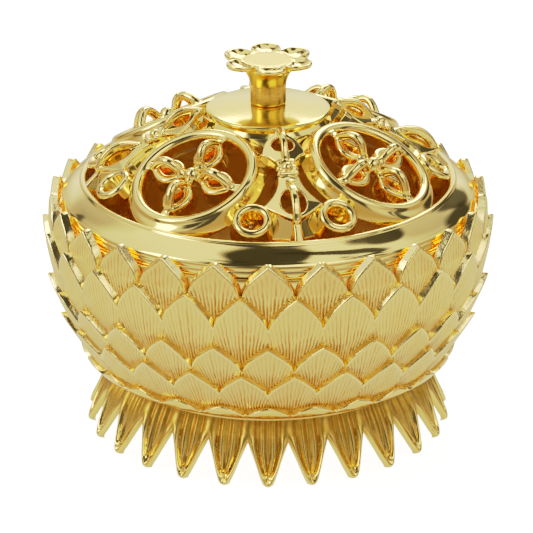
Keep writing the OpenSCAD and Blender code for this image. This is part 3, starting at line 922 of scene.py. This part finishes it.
def radial(p):
    """Long vajra between two medallions: broad lower head, beaded waist, horned upper head."""
    x, y, w = p
    ax = np.abs(x)
    under = w + 4.7 + 0.30 * np.clip(-6 - y, 0, 8) - 0.06 * np.clip(y + 6, 0, 9)
    # lower head, faceted like a low roof, its walls spreading as they go down
    spread = (0.34 + 0.50 * step(-6.5, -9.5, y)) * np.clip(-0.3 - w, 0, 4.6)
    out = polygon2(x, y, LOWER) - spread
    roof = -0.25 + 0.30 * (6.4 - ax) - 0.10 * np.abs(y + 6.2)
    hole = oval(x, y + 6.3, 2.7, 3.65, 2.7) + 0.12 * np.clip(-w, 0, 4)
    head = pierced(out, w - roof, under, hole)
    arch = arc(lambda t: (-10.9 + 9.6 * t, 0.3 + 2.3 * sin(pi * t) ** 0.8), 12)
    rib = soft_max(chain2(y, w, arch) - 1.0, ax - 0.85, 0.6)
    d = soft_min(head, rib, 0.25)
    # waist: two collars with a round boss between
    waist = (1.9 + 0.25 * np.clip(-w, 0, 3), 2.4, 2.5)
    d = soft_min(d, block(p, (0, 3.2, -1.5), waist, 0.5), 0.4)
    d = soft_min(d, capsule(p, (-1.7, 1.6, 0.75), (1.7, 1.6, 0.75), 0.66), 0.2)
    d = soft_min(d, np.sqrt(x**2 + (y - 3.3) ** 2 + (w - 0.8) ** 2) - 1.3, 0.15)
    d = soft_min(d, np.sqrt((ax - 1.6) ** 2 + (y - 3.2) ** 2 + (w - 0.5) ** 2) - 0.8, 0.15)
    d = soft_min(d, capsule(p, (-1.5, 4.9, 0.6), (1.5, 4.9, 0.6), 0.6), 0.2)
    # upper head with two small openings
    out = polygon2(x, y, UPPER) - 0.26 * np.clip(-0.3 - w, 0, 4)
    roof = 0.10 + 0.26 * (4.6 - ax) - 0.03 * np.abs(y - 9)
    hole = oval(x, y - 9.9, 2.35, 2.0, 2.0) + 0.1 * np.clip(-w, 0, 4)
    d = soft_min(d, pierced(out, w - roof, w + 3.8, hole), 0.25)
    arch = arc(lambda t: (5.6 + 8.6 * t, 0.3 + 2.1 * sin(pi * t) ** 0.8), 12)
    rib = soft_max(chain2(y, w, arch) - 0.95, ax - 0.75, 0.6)
    d = soft_min(d, rib, 0.25)
    # stem from the lower point to the lip of the band
    rod = chain2(y, w, [(-11.0, -1.7), (-15.2, -3.1)]) - 1.8
    stem = soft_max(rod, ax - 0.78 - 0.3 * np.clip(-1 - w, 0, 3), 0.35)
    return soft_min(d, stem, 0.25)


v, f = skin(radial, (-9.2, -17.4, -7.2), (9.2, 15.6, 4.6), VAJRA_GRID)
verts, faces = dome_copies(v, f, QUARTERS, ring_c, ring_z)
piece("lid_radial_vajras", "radial_vajras", verts, faces, [ring_gold], sharp=radians(50))

# eyelets: short funnels that grow out of the lip
EYE_R, EYE_BEAD, EYE_SPREAD = 3.28, 0.95, radians(14.5)
eye = []
for a in np.linspace(pi, 0, 15):
    eye.append([EYE_R + EYE_BEAD * cos(a), EYE_BEAD * (sin(a) - 1)])
eye += [[4.28, -1.6], [4.36, -2.6], [4.6, -4.0], [4.95, -5.3], [4.7, -5.5]]
eye += [[1.6, -5.5], [1.4, -5.2], [1.42, -4.0], [1.75, -2.7], [2.15, -1.6]]
v, f = lathe(eye, 72)
beside = [q + side * EYE_SPREAD for q in QUARTERS for side in (-1, 1)]
verts, faces = dome_copies(v, f, beside, open_r - 3.3, lip_z + 3.7, DOME + radians(8))
piece("lid_eyelets", "lip_eyelets", verts, faces, [ring_gold])

# crown that gathers the rings, and the disc on it
HUB_BORE = 1.7
hub_top = disc_z - 1
hub = [(HUB_BORE, hub_top - 1.6, 0), (disc_r - 3, hub_top - 1.6, 0.8)]
hub += [(disc_r - 1.2, hub_top - 3.5, 0.4), (disc_r + 0.7, hub_top - 3.5, 0.5)]
hub += [(disc_r + 0.1, hub_top - 1.5, 0.9), (disc_r - 1.0, hub_top, 0.3), (HUB_BORE, hub_top, 0)]
turned("lid_hub", "lid_crown", rounded(hub), 160, ring_gold)

disc = [[HUB_BORE, hub_top + 0.02], [disc_r - 0.35, hub_top + 0.02]]
disc += [[disc_r - 0.08, hub_top + 0.15], [disc_r, hub_top + 0.4], [disc_r, disc_z - 0.3]]
disc += [[disc_r - 0.04, disc_z - 0.14], [disc_r - 0.18, disc_z - 0.02]]
disc += [[r, crown_z - 1.17 * (r / disc_r) ** 2] for r in np.linspace(disc_r - 0.5, HUB_BORE, 24)]
turned("lid_disc", "crown_disc", disc, 192, disc_gold)


# ---- the knob

flower_r, _, flower_z = dims("knob_flower")
stem_top = dims("knob_stem")[2]
stem_h = stem_top - crown_z
STEM_BORE = 1.5
stem = [[STEM_BORE, crown_z + 0.02], [3.65, crown_z + 0.02]]
stem += [[3.82, crown_z + 0.12], [3.93, crown_z + 0.32]]
curve = monotone(
    [(0, 3.95), (2.6, 3.92), (4.4, 4.0), (5.8, 4.35), (7.0, 4.9), (8.0, 5.7), (stem_h, 6.1)]
)
stem += [[float(curve(h)), crown_z + h] for h in np.linspace(0.6, stem_h, 22)]
stem += [[STEM_BORE, stem_top]]
turned("knob_stem", "knob_neck", stem, 112, stem_gold_painted_reflection)


def flower(count=360, rings=26):
    """Flat centre with six cupped petals, each a thick dished lobe with a rounded rim."""
    th = np.linspace(0, 2 * pi, count, endpoint=False)[:, None]
    lobe = np.mod(th + pi / 6, pi / 3) - pi / 6
    rho = 3.3
    centre = flower_r - 2.95
    sn = np.abs(np.sin(lobe))
    outer = centre * np.cos(lobe) + np.sqrt(np.clip(rho**2 - (centre * sn) ** 2, 0, None))
    fill = 6.1 - 3.0 * (pi / 6 - np.abs(lobe))
    edge = np.where(sn < rho / centre, np.maximum(outer, fill), fill)
    kernel = np.array([1, 3, 5, 3, 1]) / 13
    edge = sum(w * np.roll(edge, k - 2) for k, w in enumerate(kernel))
    r = edge * np.linspace(0, 1, rings) ** 0.8
    px, py = r * np.cos(lobe) - centre, r * np.sin(lobe)
    q = np.clip(np.hypot(px, py) / rho, 0, 1.2)
    flat = flower_z - 1.2
    tilt = 0.58 * np.clip((r - 5) / 5, 0, 1)
    cup = flower_z - 0.95 + tilt - 1.2 * np.clip(1 - q**2.2, 0, 1)
    cup += 0.18 * np.exp(-((py / 0.7) ** 2)) * np.clip(1 - q, 0, 1)
    lip = 0.10 * np.exp(-(((r - 5.0) / 0.2) ** 2))
    top = flat + (cup - flat) * step(5.45, 6.1, r) - lip
    rim = np.clip((edge - r) / 0.62, 0, 1)
    top -= 0.42 * (1 - np.sqrt(np.clip(1 - (1 - rim) ** 2, 0, 1)))
    top = np.minimum(top, flower_z)
    az = th + radians(4)
    rim_z = top[:, -1:]
    upper = polar(r[:, 1:], az, top[:, 1:])
    side = polar(edge - np.array([-0.06, 0.02, 0.22]), az, rim_z - np.array([0.28, 0.62, 0.92]))
    follow = np.array([0.75, 0.4, 0.0])
    low_z = np.array([-1.15, -1.5, -1.95]) + rim_z * follow + flower_z * (1 - follow)
    lower = polar(edge * np.array([0.93, 0.82, 0.70]), az, low_z)
    shape = np.concatenate([upper, side, lower], 1)
    verts, faces = capped(shape, top[:, 0].mean(), shape[:, -1, 2].mean())
    mid = verts[faces].mean(1)
    index = (np.hypot(mid[:, 0], mid[:, 1]) < 5.4) & (mid[:, 2] > flower_z - 1.9)
    looks = [ring_gold, centre_gold]
    piece("knob_flower", "knob_blossom", verts, faces, looks, index=index, sharp=radians(60))


flower()


# ---- fittings and loose pieces

for name in ("base_screw", "base_washer", "knob_screw", "knob_washer"):
    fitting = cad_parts[name]
    fitting.data.materials.clear()
    fitting.data.materials.append(screw_steel)
    edges = fitting.modifiers.new("edges", "BEVEL")
    edges.width, edges.segments, edges.limit_method = 0.00012, 2, "ANGLE"

pad_r, pad_low, pad_top = dims("fibre_pad")


def pad():
    """Needled mat with a soft, slightly uneven top and a rounded cut edge."""
    az = np.linspace(0, 2 * pi, 240, endpoint=False)[:, None]
    turn_in = 1 - 0.1 * np.array([0.8, 0.55, 0.3, 0.12, 0.03])
    radii = np.concatenate([np.linspace(0.04, 0.9, 34), turn_in]) * pad_r
    lumps = 0.10 * np.sin(radii * 0.55 + 2 * np.sin(az * 3)) + 0.08 * np.sin(radii * 1.3 + az * 5)
    lumps += 0.06 * np.sin(az * 11 + radii)
    fall = 0.9 * np.clip((radii - (pad_r - 2.2)) / 2.2, 0, 1) ** 2.2
    top = pad_top - 0.28 + lumps * np.clip((pad_r - radii) / 3, 0, 1) - fall
    top -= 0.35 * np.exp(-(((radii - 17) / 1.6) ** 2))
    side_r = pad_r - 0.28 + 0.12 * np.sin(az * 17) + 0.10 * np.sin(az * 7 + 1)
    side = polar(side_r, az, pad_low + np.array([2.4, 1.4, 0.5]))
    shape = np.concatenate([polar(radii, az, top), side, polar(pad_r - 0.9, az, pad_low + 0.02)], 1)
    verts, faces = capped(shape, pad_top - 0.25, pad_low + 0.02)
    obj = piece("fibre_pad", "fibre_mat", verts, faces, [pad_fibre], "pad", "glass_fibre")


pad()

plate_r, plate_low, plate_top = dims("incense_plate")
plate_floor = plate_low + 1
tray = [(0, plate_low, 0), (plate_r - 3, plate_low, 0.8), (plate_r, plate_low + 1.4, 0.4)]
tray += [(plate_r, plate_top, 0.35), (plate_r - 0.8, plate_top, 0.3)]
tray += [(plate_r - 3.4, plate_floor, 0.9), (11, plate_floor, 0.2), (10.6, plate_low + 0.85, 0.2)]
tray += [(10.2, plate_floor, 0.2), (0, plate_floor, 0)]
turned("incense_plate", "incense_tray", rounded(tray), 144, brass, "holder", "plain_brass")

spike_r, spike_low, spike_top = dims("incense_spike")
pin = [(0, spike_low, 0), (spike_r, spike_low, 0.15), (spike_r, spike_low + 0.8, 0.4)]
pin += [(1.5, spike_low + 1.5, 0.7), (1.2, spike_low + 5, 0.3)]
pin += [(0.3, spike_top, 0.12), (0, spike_top, 0)]
turned("incense_spike", "incense_pin", rounded(pin), 64, brass, "holder", "plain_brass")


# ---- stage, light and camera

floor_mat, n, shader = material("studio_floor")
tone = n.blend(n.noise(6, 2), rgb(0.93, 0.93, 0.92), rgb(0.95, 0.95, 0.945))
link(n, shader, Base_Color=tone, Roughness=0.9, Specular_IOR_Level=0.1)
link(n, shader, Emission_Color=rgb(1, 1, 1), Emission_Strength=2.05)
FLOOR_HALF = 3000
corners = [[-1, -1, 0], [1, -1, 0], [1, 1, 0], [-1, 1, 0]]
floor = new_object("studio_floor", np.multiply(corners, FLOOR_HALF), [[0, 1, 2, 3]], [floor_mat])
floor.visible_glossy = False

world = bpy.data.worlds.new("studio")
bpy.context.scene.world = world
world.use_nodes = True
n = Nodes(world.node_tree)
background = world.node_tree.nodes["Background"]
direction = n.add("ShaderNodeTexCoord").outputs["Generated"]
xyz = n.add("ShaderNodeSeparateXYZ", Vector=direction)
dx, dy, dz = xyz.outputs


def dot(axis):
    """How far the direction of the sky lies along an axis."""
    props = {"operation": "DOT_PRODUCT"}
    return n.add("ShaderNodeVectorMath", props, i0=direction, i1=tuple(axis)).outputs["Value"]


def card(centre, size, soft):
    """1 inside an elliptical patch of sky round an azimuth and elevation, 0 outside, in degrees."""
    a, e = radians(centre[0]), radians(centre[1])
    axis = Vector((sin(a) * cos(e), -cos(a) * cos(e), sin(e)))
    side = Vector((cos(a), sin(a), 0))
    up = axis.cross(side) * -1
    parts = []
    for vec, half in ((side, size[0]), (up, size[1])):
        parts.append(n.maths("DIVIDE", dot(vec), sin(radians(half))))
    x2, y2 = (n.maths("MULTIPLY", part, part) for part in parts)
    inside = n.remap(n.maths("ADD", x2, y2), 1 + soft, 1 - soft, 0.0, 1.0)
    return n.maths("MULTIPLY", inside, n.maths("GREATER_THAN", dot(axis), 0.0))


ramp = n.add("ShaderNodeValToRGB", Fac=n.remap(dz, -1, 1, 0, 1))
# brightness of the studio from straight below to straight above
keys = [
    (0.0, 0.70), (0.12, 0.82), (0.32, 0.88), (0.43, 0.80), (0.49, 0.48), (0.52, 0.40),
    (0.60, 0.50), (0.68, 0.75), (0.80, 0.95), (0.92, 1.1), (1.0, 1.2),
]
elements = ramp.color_ramp.elements
elements[0].position, elements[1].position = keys[0][0], keys[-1][0]
for pos, _ in keys[1:-1]:
    elements.new(pos)
for element, (_, value) in zip(elements, keys, strict=True):
    element.color = (value, value, value * 0.985, 1)
light = ramp.outputs["Color"]
# warm walls near the horizon, a bright wall behind and a bright card high on the right
upper, lower = n.remap(dz, 0.45, 0.0, 0.0, 0.8), n.remap(dz, -0.35, -0.05, 0.0, 1.0)
warmth = n.maths("MULTIPLY", upper, lower)
light = n.blend(warmth, light, rgb(0.50, 0.37, 0.15))
behind = n.maths("MULTIPLY", n.remap(dy, 0.2, 0.8, 0.0, 1.0), n.remap(dz, -0.1, 0.2, 0.0, 1.0))
behind = n.maths("MULTIPLY", behind, n.remap(n.maths("ABSOLUTE", dx), 0.62, 0.36, 0.12, 1.0))
light = n.blend(behind, light, rgb(1.32, 1.3, 1.24))
light = n.blend(card((28, 47), (24, 12), 0.5), light, rgb(1.9, 1.85, 1.72))
# dark cards: azimuth and elevation, half width and height, softness, darkness
for centre, size, soft, dark in (
    ((-6, 79), (15, 23), 0.22, 0.98),
    ((-143, 32), (20, 16), 0.6, 0.5),
    ((133, 40), (18, 15), 0.6, 0.45),
    ((-26, 56), (16, 11), 0.3, 0.96),
    ((84, 66), (5, 20), 0.25, 0.96),
    ((128, 57), (15, 9), 0.3, 0.96),
    ((-20, 39), (21, 11), 0.3, 0.96),
    ((0, 19), (22, 10), 0.35, 0.93),
    ((66, 40), (4, 20), 0.3, 0.92),
    ((78, 10), (8, 22), 0.3, 0.9),
    ((-74, 6), (4, 14), 0.3, 0.8),
    ((150, 22), (7, 14), 0.3, 0.92),
    ((131, 14), (15, 15), 0.3, 0.95),
    ((-152, 48), (6, 16), 0.3, 0.9),
    ((-132, 10), (5, 14), 0.3, 0.85),
    ((25, -38), (8, 5), 0.4, 0.5),
):
    shade = n.maths("MULTIPLY", card(centre, size, soft), dark)
    light = n.blend(shade, light, rgb(0.03, 0.028, 0.02))
world.node_tree.links.new(light, background.inputs["Color"])
background.inputs["Strength"].default_value = 1.0


def area(name, place, size, power):
    """A soft box aimed at the middle of the object."""
    data = bpy.data.lights.new(name, "AREA")
    data.shape, data.size, data.size_y, data.energy = "RECTANGLE", size[0], size[1], power
    lamp = bpy.data.objects.new(name, data)
    bpy.context.scene.collection.objects.link(lamp)
    lamp.location = place
    aim = Vector((0, 0, 0.04)) - Vector(place)
    lamp.rotation_euler = aim.to_track_quat("-Z", "Y").to_euler()


area("back_box", (0.15, 1.0, 0.95), (0.9, 0.4), 6.0)
area("left_box", (-1.1, -0.5, 0.9), (0.5, 0.8), 4.0)

camera = bpy.data.objects.new("camera", bpy.data.cameras.new("camera"))
bpy.context.scene.collection.objects.link(camera)
elevation, distance = radians(22.2), 0.766
aim = Vector((0, 0, 0.0354))
camera.location = aim + distance * Vector((0, -cos(elevation), sin(elevation)))
camera.rotation_euler = (aim - camera.location).to_track_quat("-Z", "Y").to_euler()
camera.data.lens, camera.data.sensor_width = 232.6, 36
camera.data.shift_x = -0.003
camera.data.clip_start, camera.data.clip_end = 0.01, 20
bpy.context.scene.camera = camera

scene = bpy.context.scene
scene.view_settings.view_transform = "Standard"
scene.view_settings.look = "None"
# a camera-like shoulder: mid tones stay linear, bright reflections roll off to white
scene.view_settings.use_curve_mapping = True
curves = scene.view_settings.curve_mapping
curves.white_level = (2.5, 2.5, 2.5)
shoulder = curves.curves[3]
for at, value in ((0.15, 0.385), (0.24, 0.565), (0.46, 0.73), (0.62, 0.83), (0.79, 0.925)):
    shoulder.points.new(at, value)
curves.update()
scene.cycles.max_bounces = 16
scene.cycles.glossy_bounces = 14
scene.cycles.diffuse_bounces = 5
scene.cycles.sample_clamp_indirect = 6.0
scene.cycles.caustics_reflective = True
